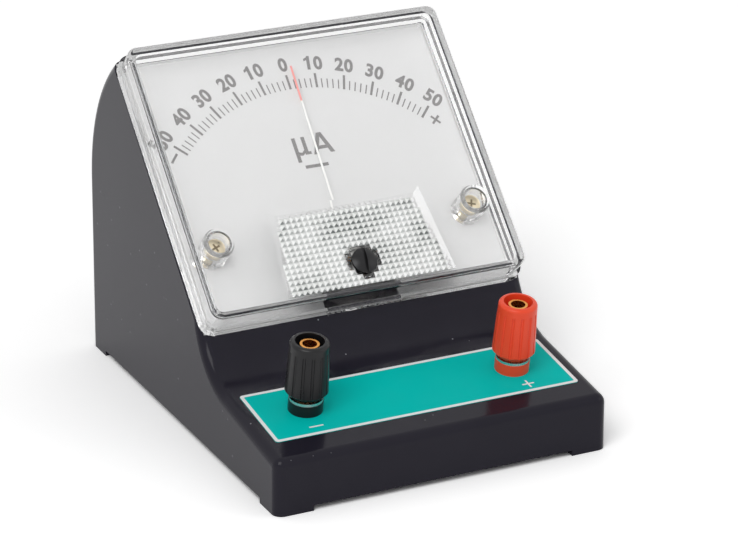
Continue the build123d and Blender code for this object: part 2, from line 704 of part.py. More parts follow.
def rear_bridge():
    """Strip behind the movement with the rear jewel screw and the rear spring's tab."""
    strip = slab(2 * BRIDGE_HALF, BRIDGE_HEIGHT, REAR_BRIDGE_FRONT, REAR_BRIDGE_BACK)
    arm = ANCHOR_AT + ANCHOR_THICKNESS / 2
    strip += slab(ANCHOR_WIDTH, arm, REAR_BRIDGE_FRONT, REAR_BRIDGE_BACK, y=arm / 2)
    tab_front = REAR_BRIDGE_FRONT - SPRING_TO_BRIDGE - SPRING_HEIGHT
    strip += slab(ANCHOR_WIDTH, ANCHOR_THICKNESS, tab_front, REAR_BRIDGE_BACK, y=ANCHOR_AT)
    strip -= bar(JEWEL_RADIUS, REAR_BRIDGE_FRONT, REAR_BRIDGE_BACK)
    for side in (-1, 1):
        strip -= bar(
            BRIDGE_POST_RADIUS / 2, REAR_BRIDGE_FRONT, REAR_BRIDGE_BACK, side * BRIDGE_POST_X
        )
    return PIVOT * strip


def bridge_posts():
    """Four pillars that carry the two bridges."""
    posts = []
    for side in (-1, 1):
        x = side * BRIDGE_POST_X
        posts.append(PIVOT * bar(BRIDGE_POST_RADIUS, BRIDGE_BACK, CORE_FRONT, x))
        posts.append(PIVOT * bar(BRIDGE_POST_RADIUS, FRAME_BACK, REAR_BRIDGE_FRONT, x))
    return Compound(children=posts)


def bridge_screws():
    """Four small screws through the bridges, ending at the pillars."""
    screws = []
    shank = BRIDGE_POST_RADIUS / 2
    for side in (-1, 1):
        x = side * BRIDGE_POST_X
        front = bar(BRIDGE_SCREW_HEAD_RADIUS, BRIDGE_FRONT - BRIDGE_SCREW_HEAD, BRIDGE_FRONT, x)
        front += bar(shank, BRIDGE_FRONT, BRIDGE_BACK, x)
        rear = bar(BRIDGE_SCREW_HEAD_RADIUS, REAR_BRIDGE_BACK, REAR_BRIDGE_BACK + BRIDGE_SCREW_HEAD, x)
        rear += bar(shank, REAR_BRIDGE_FRONT, REAR_BRIDGE_BACK, x)
        screws.extend([PIVOT * front, PIVOT * rear])
    return Compound(children=screws)


def front_jewel_screw():
    """Bush through the front bridge with a flange outside and a jewel cup inside."""
    flange_back = LEVER_FRONT - PLAY
    end = BRIDGE_BACK + JEWEL_REACH
    bush = bar(JEWEL_FLANGE_RADIUS, flange_back - JEWEL_FLANGE_THICKNESS, flange_back)
    bush += bar(JEWEL_RADIUS, flange_back, end)
    bush -= bar(JEWEL_CUP_RADIUS, end - PIVOT_TIP, end)
    return PIVOT * bush


def rear_jewel_screw():
    """The same bush through the rear bridge."""
    start = REAR_BRIDGE_FRONT - JEWEL_REACH
    flange = bar(
        JEWEL_FLANGE_RADIUS, REAR_BRIDGE_BACK, REAR_BRIDGE_BACK + JEWEL_FLANGE_THICKNESS
    )
    bush = bar(JEWEL_RADIUS, start, REAR_BRIDGE_BACK) + flange
    bush -= bar(JEWEL_CUP_RADIUS, start, start + PIVOT_TIP)
    return PIVOT * bush


def movement_frame():
    """Plate behind the deck with two tongues that hold the core inside the yoke."""
    outline = RectangleRounded(FRAME_WIDTH, FRAME_HEIGHT, FRAME_CORNER_RADIUS)
    plate = Pos(0, 0, -FRAME_BACK) * extrude(outline, FRAME_THICKNESS)
    plate -= bar(YOKE_INNER_RADIUS, CORE_BACK, FRAME_BACK)
    tube = bar(YOKE_INNER_RADIUS - TONGUE_GAP, CORE_FRONT, FRAME_BACK)
    tube -= bar(CORE_RADIUS + TONGUE_GAP, CORE_FRONT, FRAME_BACK)
    root = bar(YOKE_INNER_RADIUS + 1, CORE_BACK, FRAME_BACK)
    root -= bar(CORE_RADIUS + TONGUE_GAP, CORE_BACK, FRAME_BACK)
    reach = 2 * YOKE_INNER_RADIUS
    wide = reach * tan(TONGUE_HALF_ANGLE)
    bow_tie = make_face(
        Polyline((0, 0), (wide, reach), (-wide, reach), close=True)
    ) + make_face(Polyline((0, 0), (wide, -reach), (-wide, -reach), close=True))
    sectors = Pos(0, 0, -FRAME_BACK) * extrude(bow_tie, FRAME_BACK)
    plate += (tube + root) & sectors
    for side in (-1, 1):
        plate -= bar(SCREW_RADIUS + SHANK_GAP, CORE_BACK, FRAME_BACK, side * FRAME_SCREW_X)
    return PIVOT * plate


def yoke_ring():
    """Soft iron ring that closes the magnet's field."""
    return PIVOT * ring(YOKE_OUTER_RADIUS, YOKE_INNER_RADIUS, -CORE_BACK, -CORE_FRONT)


def core_magnet():
    """Round magnet inside the coil."""
    return PIVOT * bar(CORE_RADIUS, CORE_FRONT, CORE_BACK)


def movement_lugs():
    """Two solder lugs under the movement's screws, with their tails down the slope."""

    def one(side):
        lug = bar(LUG_RADIUS, FRAME_BACK, FRAME_BACK + LUG_THICKNESS)
        tail_middle = -LUG_TAIL / 2
        lug += slab(
            LUG_TAIL_WIDTH, LUG_TAIL, FRAME_BACK, FRAME_BACK + LUG_THICKNESS, y=tail_middle
        )
        lug -= bar(SCREW_RADIUS + SHANK_GAP, FRAME_BACK, FRAME_BACK + LUG_THICKNESS)
        return PIVOT * Pos(side * FRAME_SCREW_X, 0, 0) * lug

    return mirrored(one)


def movement_screws():
    """Two screws that hold lugs and frame to the housing's bosses."""
    head_front = FRAME_BACK + LUG_THICKNESS

    def one(side):
        head = bar(SCREW_HEAD_RADIUS, head_front, head_front + COVER_SCREW_HEAD)
        shank = bar(SCREW_RADIUS, CORE_BACK - BOSS_LENGTH / 2, head_front)
        return PIVOT * Pos(side * FRAME_SCREW_X, 0, 0) * (head + shank)

    return mirrored(one)


def stop_pins():
    """Two pins on the yoke that stop the pointer's tail just past the ends of the scale."""
    touch = ARM_WIDTH / 2 + STOP_PIN_RADIUS + PLAY
    angle = SWING + math.degrees(math.asin(touch / STOP_PIN_AT))

    def one(side):
        x = side * STOP_PIN_AT * sin(angle)
        y = -STOP_PIN_AT * cos(angle)
        return PIVOT * bar(STOP_PIN_RADIUS, NEEDLE_DEPTH - HUB_THICKNESS / 2, CORE_FRONT, x, y)

    return mirrored(one)


def moving(solid):
    """Sets a piece of the moving coil at the reading at which the pointer rests."""
    return PIVOT * Rot(0, 0, -REST_READING_ANGLE) * solid


def coil_former():
    """Light metal frame that turns in the gap round the core."""
    outer = CORE_RADIUS + COIL_GAP + FORMER_THICKNESS
    inner = CORE_RADIUS + COIL_GAP
    front = CORE_FRONT - COIL_END_GAP
    back = CORE_BACK + COIL_END_GAP
    frame = slab(2 * outer, FORMER_WIDTH, front - FORMER_THICKNESS, back + FORMER_THICKNESS)
    frame -= slab(2 * inner, 2 * FORMER_WIDTH, front, back)
    return moving(frame)


def coil_winding():
    """Copper wire wound on the former, one solid."""
    inner = CORE_RADIUS + COIL_GAP + FORMER_THICKNESS
    outer = inner + WINDING_THICKNESS
    winding = slab(2 * outer, WINDING_WIDTH, COIL_FRONT, COIL_BACK)
    winding -= slab(
        2 * inner, 2 * WINDING_WIDTH, COIL_FRONT + WINDING_THICKNESS, COIL_BACK - WINDING_THICKNESS
    )
    return moving(winding)


def pivot_shaft(length):
    """Flange, shaft and pointed end along z, standing on the coil."""
    return turned(
        [
            (0, 0),
            (PIVOT_FLANGE_RADIUS, 0),
            (PIVOT_FLANGE_RADIUS, PIVOT_FLANGE_THICKNESS),
            (PIVOT_SHAFT_RADIUS, PIVOT_FLANGE_THICKNESS),
            (PIVOT_SHAFT_RADIUS, length - PIVOT_TIP),
            (0, length),
        ]
    )


def front_pivot():
    """Front shaft, with its point in the front jewel."""
    tip = BRIDGE_BACK + JEWEL_REACH - PIVOT_TIP / 2
    return moving(Pos(0, 0, -COIL_FRONT) * pivot_shaft(COIL_FRONT - tip))


def rear_pivot():
    """Rear shaft, with its point in the rear jewel."""
    tip = REAR_BRIDGE_FRONT - JEWEL_REACH + PIVOT_TIP / 2
    return moving(Pos(0, 0, -COIL_BACK) * Rot(180, 0, 0) * pivot_shaft(tip - COIL_BACK))


def pointer():
    """Needle, tail and side arms on a hub round the front shaft."""
    front = NEEDLE_DEPTH - NEEDLE_THICKNESS / 2
    back = NEEDLE_DEPTH + NEEDLE_THICKNESS / 2
    cross = slab(NEEDLE_WIDTH, NEEDLE_REACH, front, back, y=NEEDLE_REACH / 2)
    cross += slab(ARM_WIDTH, TAIL_REACH, front, back, y=-TAIL_REACH / 2)
    cross += slab(2 * SIDE_REACH, ARM_WIDTH, front, back)
    cross += bar(HUB_RADIUS, NEEDLE_DEPTH - HUB_THICKNESS / 2, NEEDLE_DEPTH + HUB_THICKNESS / 2)
    cross -= bar(PIVOT_SHAFT_RADIUS, 0, COVER_DEPTH)
    return moving(cross)


def balance_weights():
    """A disc on the tail that balances the needle, and a small one on each side arm."""
    back = NEEDLE_DEPTH + NEEDLE_THICKNESS / 2
    needle_moment = NEEDLE_WIDTH * (NEEDLE_REACH**2 - HUB_RADIUS**2) / 2
    tail_moment = ARM_WIDTH * (TAIL_REACH**2 - HUB_RADIUS**2) / 2
    moment = (needle_moment - tail_moment) * NEEDLE_THICKNESS / BRASS_TO_ALUMINIUM
    thickness = moment / (math.pi * WEIGHT_RADIUS**2 * TAIL_WEIGHT_AT)
    discs = [bar(WEIGHT_RADIUS, back, back + thickness, y=-TAIL_WEIGHT_AT)]
    for side in (-1, 1):
        discs.append(
            bar(SIDE_WEIGHT_RADIUS, back, back + SIDE_WEIGHT_THICKNESS, side * SIDE_WEIGHT_AT)
        )
    return Compound(children=[moving(disc) for disc in discs])


def terminal(side):
    """The frame of a terminal, with its origin on the label and z along the stud."""
    return LEDGE * Pos(side * TERMINAL_X, TERMINAL_BACK, LABEL_PROUD)


def stud(side):
    """Brass stud with a plug socket in its upper end."""
    bar_form = turned(
        [
            (0, STUD_BOTTOM),
            (STUD_LOWER_RADIUS, STUD_BOTTOM),
            (STUD_LOWER_RADIUS, COLLAR_HEIGHT),
            (STUD_RADIUS, COLLAR_HEIGHT),
            (STUD_RADIUS, STUD_TOP),
            (0, STUD_TOP),
        ]
    )
    return terminal(side) * (bar_form - spool(SOCKET_RADIUS, STUD_TOP - SOCKET_DEPTH, STUD_TOP))


def cap(side):
    """Fluted screw cap with a recessed top, open for the stud and hollow for its insert."""
    body = turned(
        [
            (0, CAP_BOTTOM),
            (CAP_FOOT_RADIUS, CAP_BOTTOM),
            (CAP_RADIUS, CAP_BOTTOM + CAP_FOOT_HEIGHT),
            (CAP_TOP_RADIUS, CAP_TOP),
            (0, CAP_TOP),
        ]
    )
    body = fillet(body.edges().group_by(Axis.Z)[-1], CAP_RIM_RADIUS)
    flute_top = CAP_TOP - FLUTE_BELOW_TOP
    lean = math.degrees(math.atan((CAP_RADIUS - CAP_TOP_RADIUS) / (CAP_HEIGHT - CAP_FOOT_HEIGHT)))
    flute = Pos(CAP_RADIUS - FLUTE_DEPTH + FLUTE_RADIUS, 0, CAP_BOTTOM) * Rot(0, -lean, 0) * spool(
        FLUTE_RADIUS, -FLUTE_RADIUS, flute_top - CAP_BOTTOM
    )
    for index in range(FLUTES):
        body -= Rot(0, 0, 360 * index / FLUTES) * flute
    body -= spool(CAP_RECESS_RADIUS, CAP_TOP - CAP_RECESS_DEPTH, CAP_TOP)
    body -= spool(STUD_RADIUS + 2 * RUNNING_GAP, CAP_BOTTOM, CAP_TOP)
    low = CAP_BOTTOM + INSERT_ABOVE_FOOT
    body -= spool(INSERT_RADIUS + RUNNING_GAP, low, low + INSERT_LENGTH)
    return terminal(side) * body


def cap_insert(side):
    """Threaded metal insert inside the cap."""
    low = CAP_BOTTOM + INSERT_ABOVE_FOOT + RUNNING_GAP
    high = low + INSERT_LENGTH - 2 * RUNNING_GAP
    return terminal(side) * ring(INSERT_RADIUS, STUD_RADIUS + RUNNING_GAP, low, high)


def collar(side):
    """Insulating collar under the washer."""
    return terminal(side) * ring(COLLAR_RADIUS, STUD_LOWER_RADIUS, 0, COLLAR_HEIGHT)


def terminal_washer(side):
    """Metal washer on the collar, against which the cap clamps a wire."""
    return terminal(side) * ring(
        WASHER_RADIUS, STUD_RADIUS + RUNNING_GAP, COLLAR_HEIGHT, WASHER_TOP
    )


def inner_washer(side):
    """Insulating washer under the ledge."""
    return terminal(side) * ring(
        INNER_WASHER_RADIUS, STUD_LOWER_RADIUS + RUNNING_GAP, INNER_WASHER_BOTTOM, LEDGE_UNDERSIDE
    )


def solder_tag(side):
    """Ring tag with its tail to the back."""
    height = TAG_THICKNESS
    disc = spool(TAG_RADIUS, TAG_BOTTOM, INNER_WASHER_BOTTOM)
    tail = Pos(0, TAG_TAIL / 2, TAG_BOTTOM + height / 2) * Box(TAG_TAIL_WIDTH, TAG_TAIL, height)
    hole = spool(STUD_LOWER_RADIUS + RUNNING_GAP, TAG_BOTTOM, INNER_WASHER_BOTTOM)
    return terminal(side) * (disc + tail - hole)


def nut(side):
    """Hexagon nut under the tag."""
    outline = RegularPolygon(NUT_ACROSS_FLATS / 2, 6, major_radius=False)
    outline -= Circle(STUD_LOWER_RADIUS + RUNNING_GAP)
    return terminal(side) * Pos(0, 0, NUT_BOTTOM) * extrude(outline, NUT_THICKNESS)


def lead_wire(side):
    """Insulated wire from the solder tag to the movement's lug on the same side."""
    tag_end = terminal(side) * Pos(0, TAG_TAIL, TAG_BOTTOM + TAG_THICKNESS / 2)
    tag_away = tag_end * Pos(0, WIRE_RUN, 0)
    lug_end = PIVOT * Pos(side * FRAME_SCREW_X, -LUG_TAIL, -FRAME_BACK - LUG_THICKNESS / 2)
    lug_away = lug_end * Pos(0, -WIRE_RUN, 0)
    points = [place.position for place in (tag_end, tag_away, lug_away, lug_end)]
    radii = []
    for before, corner, after in zip(points, points[1:], points[2:]):
        turn = (corner - before).get_angle(after - corner)
        shorter = min((corner - before).length, (after - corner).length)
        radii.append(0.45 * shorter / tan(turn / 2))
    route = FilletPolyline(*points, radius=radii)
    section = Plane(origin=points[0], z_dir=points[1] - points[0]) * Circle(WIRE_RADIUS)
    return sweep(section, path=route)


SINGLE = [
    housing,
    base_cover,
    base_screws,
    label_plate,
    meter_cover,
    cover_screws,
    dial_plate,
    zero_adjuster,
    zero_lever,
    front_hairspring,
    rear_hairspring,
    front_bridge,
    rear_bridge,
    bridge_posts,
    bridge_screws,
    front_jewel_screw,
    rear_jewel_screw,
    movement_frame,
    movement_screws,
    movement_lugs,
    yoke_ring,
    core_magnet,
    stop_pins,
    coil_former,
    coil_winding,
    front_pivot,
    rear_pivot,
    pointer,
    balance_weights,
]
ON_EACH_SIDE = [
    stud,
    cap,
    cap_insert,
    collar,
    terminal_washer,
    inner_washer,
    solder_tag,
    nut,
    lead_wire,
]


def main():
    """Writes one file for each node."""
    os.makedirs("parts", exist_ok=True)
    nodes = {make.__name__: make() for make in SINGLE}
    for make in ON_EACH_SIDE:
        nodes["black_" + make.__name__] = make(-1)
        nodes["red_" + make.__name__] = make(1)
    for name, solid in nodes.items():
        solid.label = name
        export_step(solid, "parts/" + name + ".step")


main()
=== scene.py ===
import json
import math

import bpy
import numpy as np
from mathutils import Matrix, Vector


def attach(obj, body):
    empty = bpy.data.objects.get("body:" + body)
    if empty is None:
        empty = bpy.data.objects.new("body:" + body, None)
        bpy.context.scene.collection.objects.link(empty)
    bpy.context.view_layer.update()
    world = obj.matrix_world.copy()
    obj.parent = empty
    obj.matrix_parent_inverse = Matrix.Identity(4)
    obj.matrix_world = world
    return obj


# The looks of a student galvanometer: a black moulded case, a clear cover over a printed dial with
# a red-tipped needle, a ribbed prismatic window, and two screw terminals on a green label.
# Places are metres in the CAD frame. Named sizes are millimetres, and MM turns them into metres.

MM = 0.001

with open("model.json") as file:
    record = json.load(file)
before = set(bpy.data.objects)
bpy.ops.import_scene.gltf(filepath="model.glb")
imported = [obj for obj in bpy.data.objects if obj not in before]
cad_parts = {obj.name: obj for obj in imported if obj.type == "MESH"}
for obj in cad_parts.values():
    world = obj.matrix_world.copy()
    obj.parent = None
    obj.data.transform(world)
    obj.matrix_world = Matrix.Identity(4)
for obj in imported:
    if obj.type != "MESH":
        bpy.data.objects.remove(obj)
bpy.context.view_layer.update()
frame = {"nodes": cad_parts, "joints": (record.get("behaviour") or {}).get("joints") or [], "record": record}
nodes = frame["nodes"]
joints = {joint["name"]: joint for joint in frame["joints"]}


# Places in the frame


def reach(node, direction):
    """The least and the greatest distance of a node's vertices along a direction."""
    mesh = nodes[node].data
    points = np.empty(len(mesh.vertices) * 3)
    mesh.vertices.foreach_get("co", points)
    along = points.reshape(-1, 3) @ np.array(direction)
    return float(along.min()), float(along.max())


def plane_at(place, out):
    """A frame with x to the right, z along out and y up the slope, as a matrix."""
    turn = Matrix((RIGHT, out.cross(RIGHT), out)).transposed().to_4x4()
    return Matrix.Translation(place) @ turn


def on_plane(point, out, level):
    """The point moved along out until it lies at a level."""
    return point + out * (level - point.dot(out))


RIGHT = Vector((1, 0, 0))
FACE_OUT = -Vector(joints["pointer_swing"]["axis"]).normalized()
PIVOT = Vector(joints["pointer_swing"]["pos_m"])
LEDGE_OUT = Vector(joints["black_cap_turn"]["axis"]).normalized()
LEDGE_UP = LEDGE_OUT.cross(RIGHT)

DIAL_TOP = reach("dial_plate", FACE_OUT)[1]
DIAL = plane_at(on_plane(PIVOT, FACE_OUT, DIAL_TOP), FACE_OUT)
LABEL_TOP = reach("label_plate", LEDGE_OUT)[1]
LABEL_LOW, LABEL_HIGH = reach("label_plate", LEDGE_UP)
LABEL_HALF = reach("label_plate", RIGHT)[1]
LABEL_MIDDLE = LEDGE_UP * ((LABEL_LOW + LABEL_HIGH) / 2)
LABEL = plane_at(on_plane(LABEL_MIDDLE, LEDGE_OUT, LABEL_TOP), LEDGE_OUT)


# Meshes


def placed(matrix, points):
    """Local points, as an array of rows, carried into the CAD frame."""
    turn = np.array(matrix)
    return np.asarray(points) @ turn[:3, :3].T + turn[:3, 3]


def made_object(name, mesh):
    """A new object for a mesh, linked to the scene."""
    made = bpy.data.objects.new(name, mesh)
    bpy.context.scene.collection.objects.link(made)
    return made


def band_faces(count):
    """Quads of a closed band: point j and j + 1 of the first loop, then of the second loop."""
    j = np.arange(count)
    k = (j + 1) % count
    return np.stack([count + j, count + k, k, j], axis=-1)


def strips(corners):
    """Flat four-cornered strips: four points for each, kept apart from their neighbours."""
    flat = np.asarray(corners).reshape(-1, 2)
    points = np.column_stack([flat, np.zeros(len(flat))])
    return points, np.arange(len(flat)).reshape(-1, 4)


# Materials

# Sizes of the patterns. The grain and the turns of wire are drawn coarser than they are, so that
# they show.
GRAIN_MM = 0.35
DUST_CELL_MM = 1.6
DUST_CORE, DUST_EDGE = 0.08, 0.16
DUST_COLOUR = "#9A9AA0"
PLASTIC_TONE_MM = 14.0
PLASTIC_POLISH_MM = 6.0
METAL_PATCH_MM = 3.0
ZINC_PATCH_MM = 1.5
CLEAR_POLISH_MM = 9.0
PRISM_REFLECTION_PATCH_MM = 11.0
ENAMEL_TONE_MM = 2.0
WIRE_TURN_MM = 0.69
WIRE_RIB_MM = 0.05
# A wave texture of scale one repeats at this length.
WAVE_LENGTH = math.tau / 20
POLYSTYRENE_IOR = 1.52
NEEDLE_RED_FROM = 47.1
NEEDLE_RED_BLEED = 0.4


def colour(text):
    """A colour given as sRGB hex, turned to linear with full alpha."""
    values = np.array([int(text[i : i + 2], 16) for i in (1, 3, 5)]) / 255
    flat = np.where(values <= 0.04045, values / 12.92, ((values + 0.055) / 1.055) ** 2.4)
    return (*flat.tolist(), 1.0)


def add(tree, kind, values=None, **settings):
    """Adds a node, sets its settings, and gives each named socket a value or a link."""
    made = tree.nodes.new(kind)
    for name, value in settings.items():
        setattr(made, name, value)
    for name, value in (values or {}).items():
        socket = made.inputs[name]
        if isinstance(value, bpy.types.NodeSocket):
            tree.links.new(value, socket)
        else:
            socket.default_value = value
    return made


def new_material(name):
    """An empty material with its tree and the coordinates of the piece."""
    material = bpy.data.materials.new(name)
    material.use_nodes = True
    tree = material.node_tree
    tree.nodes.clear()
    return material, tree, add(tree, "ShaderNodeTexCoord").outputs["Object"]


def per(size_mm):
    """The texture scale at which a pattern repeats about every so many millimetres."""
    return 1000 / size_mm


def drifting_tone(tree, place, size_mm, detail, first, second):
    """A colour that drifts between two in soft patches, as no moulding or plating is quite even."""
    values = {"Vector": place, "Scale": per(size_mm), "Detail": detail}
    drift = add(tree, "ShaderNodeTexNoise", values).outputs["Fac"]
    values = {0: drift, 6: colour(first), 7: colour(second)}
    return add(tree, "ShaderNodeMix", values, data_type="RGBA").outputs[2]


def drifting_polish(tree, place, size_mm, detail, low, high):
    """A roughness that drifts between two in patches, as hands and cloths leave it."""
    values = {"Vector": place, "Scale": per(size_mm), "Detail": detail}
    drift = add(tree, "ShaderNodeTexNoise", values).outputs["Fac"]
    values = {"Value": drift, "From Min": 0.3, "From Max": 0.7, "To Min": low, "To Max": high}
    return add(tree, "ShaderNodeMapRange", values).outputs["Result"]


def moulded_grain(tree, place, height_mm):
    """The fine grain of a tool's surface, drawn coarser than it is so that it shows."""
    values = {"Vector": place, "Scale": per(GRAIN_MM), "Detail": 3.0}
    fine = add(tree, "ShaderNodeTexNoise", values).outputs["Fac"]
    values = {"Height": fine, "Distance": height_mm * MM, "Strength": 1.0}
    return add(tree, "ShaderNodeBump", values).outputs["Normal"]


def dust(tree, place, share):
    """Grains of dust: one in the given share of cells, each a dot at the cell's own point."""
    values = {"Vector": place, "Scale": per(DUST_CELL_MM), "Randomness": 1.0}
    cells = add(tree, "ShaderNodeTexVoronoi", values).outputs
    values = {"Value": cells["Distance"], "To Min": 1.0, "To Max": 0.0}
    values.update({"From Min": DUST_CORE, "From Max": DUST_EDGE})
    near = add(tree, "ShaderNodeMapRange", values).outputs["Result"]
    values = {0: cells["Color"], 1: 1 - share}
    few = add(tree, "ShaderNodeMath", values, operation="GREATER_THAN").outputs[0]
    return add(tree, "ShaderNodeMath", {0: near, 1: few}, operation="MULTIPLY").outputs[0]


def plastic(name, base, shade, rough, ior=1.5, gloss=0.5, grain_mm=0.0, dusty=0.0):
    """Moulded or printed plastic: a colour that drifts a little, a fine grain and some dust."""
    material, tree, place = new_material(name)
    tone = drifting_tone(tree, place, PLASTIC_TONE_MM, 2.0, base, shade)
    polish = drifting_polish(tree, place, PLASTIC_POLISH_MM, 4.0, rough * 0.85, rough * 1.2)
    if dusty:
        grains = dust(tree, place, dusty)
        values = {0: grains, 6: tone, 7: colour(DUST_COLOUR)}
        tone = add(tree, "ShaderNodeMix", values, data_type="RGBA").outputs[2]
        values = {0: polish, 1: grains}
        polish = add(tree, "ShaderNodeMath", values, operation="MAXIMUM").outputs[0]
    values = {"Base Color": tone, "Roughness": polish, "IOR": ior, "Specular IOR Level": gloss}
    if grain_mm:
        values["Normal"] = moulded_grain(tree, place, grain_mm)
    shader = add(tree, "ShaderNodeBsdfPrincipled", values).outputs[0]
    add(tree, "ShaderNodeOutputMaterial", {"Surface": shader})
    return material


def metal(name, base, shade, rough, patch_mm=METAL_PATCH_MM):
    """Turned, plated or rolled metal: bright, with a drift of tone and a finer one of polish."""
    material, tree, place = new_material(name)
    tone = drifting_tone(tree, place, patch_mm, 3.0, base, shade)
    polish = drifting_polish(tree, place, patch_mm / 3, 3.0, rough * 0.8, rough * 1.25)
    values = {"Base Color": tone, "Roughness": polish, "Metallic": 1.0}
    shader = add(tree, "ShaderNodeBsdfPrincipled", values).outputs[0]
    add(tree, "ShaderNodeOutputMaterial", {"Surface": shader})
    return material


def clear_polystyrene():
    """Crystal polystyrene, moulded and polished: clear and sharply shining, with a pale shadow."""
    material, tree, place = new_material("clear_polystyrene_moulded")
    polish = drifting_polish(tree, place, CLEAR_POLISH_MM, 3.0, 0.012, 0.035)
    values = {"Base Color": colour("#FFFFFF"), "Roughness": polish}
    values.update({"IOR": POLYSTYRENE_IOR, "Transmission Weight": 1.0})
    shader = add(tree, "ShaderNodeBsdfPrincipled", values).outputs[0]
    shadow = add(tree, "ShaderNodeLightPath").outputs["Is Shadow Ray"]
    through = add(tree, "ShaderNodeBsdfTransparent", {"Color": colour("#FAFAFA")}).outputs[0]
    both = add(tree, "ShaderNodeMixShader", {0: shadow, 1: shader, 2: through}).outputs[0]
    add(tree, "ShaderNodeOutputMaterial", {"Surface": both})
    return material


def needle_enamel():
    """Aluminium needle dipped in white enamel, with its outer centimetre in pale signal red."""
    material, tree, place = new_material("needle_white_and_red_enamel")
    values = {0: place, 1: tuple(PIVOT)}
    away = add(tree, "ShaderNodeVectorMath", values, operation="DISTANCE").outputs["Value"]
    values = {"Value": away, "From Min": NEEDLE_RED_FROM * MM}
    values["From Max"] = (NEEDLE_RED_FROM + NEEDLE_RED_BLEED) * MM
    red = add(tree, "ShaderNodeMapRange", values).outputs["Result"]
    white = drifting_tone(tree, place, ENAMEL_TONE_MM, 2.0, "#F4F4F2", "#E9E9E6")
    values = {0: red, 6: white, 7: colour("#EA928E")}
    tone = add(tree, "ShaderNodeMix", values, data_type="RGBA").outputs[2]
    values = {"Base Color": tone, "Roughness": 0.45, "IOR": 1.5}
    shader = add(tree, "ShaderNodeBsdfPrincipled", values).outputs[0]
    add(tree, "ShaderNodeOutputMaterial", {"Surface": shader})
    return material


def wound_wire():
    """Fine enamelled copper wire, wound in close turns that show as ribs across the coil."""
    material, tree, place = new_material("enamelled_copper_wire_wound")
    values = {"Vector": place, "Scale": per(WIRE_TURN_MM) * WAVE_LENGTH, "Distortion": 0.0}
    ribs = add(tree, "ShaderNodeTexWave", values, bands_direction="X").outputs["Fac"]
    # Painted shade and highlight: the colour is darker in the grooves between the turns and lighter on their
    # crests.
    values = {0: ribs, 6: colour("#8E4A1C"), 7: colour("#C97A38")}
    tone = add(tree, "ShaderNodeMix", values, data_type="RGBA").outputs[2]
    values = {"Height": ribs, "Distance": WIRE_RIB_MM * MM}
    bump = add(tree, "ShaderNodeBump", values).outputs["Normal"]
    values = {"Base Color": tone, "Roughness": 0.35, "Metallic": 1.0, "Normal": bump}
    shader = add(tree, "ShaderNodeBsdfPrincipled", values).outputs[0]
    add(tree, "ShaderNodeOutputMaterial", {"Surface": shader})
    return material


def painted_prism_facet(name, light, dark):
    """Polished facet with painted reflection, for the light it turns back: silvery in patches, darker in the
    others.
    """
    material, tree, place = new_material(name)
    values = {"Vector": place, "Scale": per(PRISM_REFLECTION_PATCH_MM), "Detail": 3.0, "Roughness": 0.6}
    drift = add(tree, "ShaderNodeTexNoise", values).outputs["Fac"]
    values = {"Value": drift, "From Min": 0.4, "From Max": 0.62}
    patch = add(tree, "ShaderNodeMapRange", values).outputs["Result"]
    values = {0: patch, 6: colour(light), 7: colour(dark)}
    tone = add(tree, "ShaderNodeMix", values, data_type="RGBA").outputs[2]
    values = {"Base Color": tone, "Roughness": 0.18, "IOR": POLYSTYRENE_IOR}
    shader = add(tree, "ShaderNodeBsdfPrincipled", values).outputs[0]
    add(tree, "ShaderNodeOutputMaterial", {"Surface": shader})
    return material


# ABS moulded in a polished tool: near black, glossy, with dust that clings to it.
black_abs = plastic(
    "black_abs_moulded", "#1E1C26", "#24222C", 0.15, ior=1.24, grain_mm=0.002, dusty=0.12
)
# Polyamide screw caps, moulded with a fine grain: the light on their flutes stays soft.
cap_black = plastic(
    "black_pa_moulded", "#121214", "#19191B", 0.3, gloss=0.32, grain_mm=0.006, dusty=0.02
)
cap_red = plastic("red_pa_moulded", "#F8522E", "#F04828", 0.34, gloss=0.35, grain_mm=0.006)
# Vulcanised fibre, punched from sheet: dull red-brown, seen only with the base off.
fibre = plastic("red_vulcanised_fibre_punched", "#7A3A26", "#6A2F1E", 0.7)
# Lacquer baked on the dial sheet: pale grey and matt, so the print reads from every side.
dial_lacquer = plastic("pale_grey_lacquer_baked", "#D0D0D0", "#CDCDCD", 0.55, gloss=0.3)
# Ink pad-printed on the lacquer: mid grey, flat.
scale_ink = plastic("grey_ink_pad_printed", "#747272", "#7C7A7A", 0.6, gloss=0.2)
# Printed sheet under a thin varnish: full teal green with hardly any shine.
label_green = plastic("green_printed_sheet_varnished", "#00C6BE", "#00C0B8", 0.45, ior=1.12)
# Screen-printed white: thick, even and matt beside the green.
label_white = plastic("white_ink_screen_printed", "#F4F4F4", "#EEEEEE", 0.45, ior=1.15)
# Turned brass: warm and bright, with a soft streak of light.
brass = metal("brass_turned", "#E8A555", "#D89244", 0.26)
# The movement's stamped brass parts are nickel plated, so they are silvery.
plated = metal("nickel_plated_brass_stamped", "#D8D8D4", "#C6C6C2", 0.3)
# Nickel on steel: pale and clean, a little blurred by tumbling.
nickel = metal("nickel_plated_steel", "#E2E2E0", "#D0D0CE", 0.3)
# Passivated zinc on the screws: cream, in small patches.
zinc = metal("zinc_plated_steel_passivated", "#F4E8CE", "#E2D4B6", 0.34, patch_mm=ZINC_PATCH_MM)
# Floor of a screw's recess, where little light comes in: dull brown.
recess = plastic("screw_recess_shadowed", "#86785F", "#786A52", 0.7)
# Rolled aluminium sheet: even light grey with a broad sheen.
aluminium = metal("aluminium_sheet_rolled", "#CFD0D1", "#BEBFC1", 0.32)
# Soft iron, turned and left bare: dull grey.
iron = metal("soft_iron_turned_dull", "#7C7A78", "#6A6866", 0.5)
# Ground magnet alloy: dark grey, closed surface.
magnet = metal("alnico_magnet_ground", "#5E5E62", "#525256", 0.42)
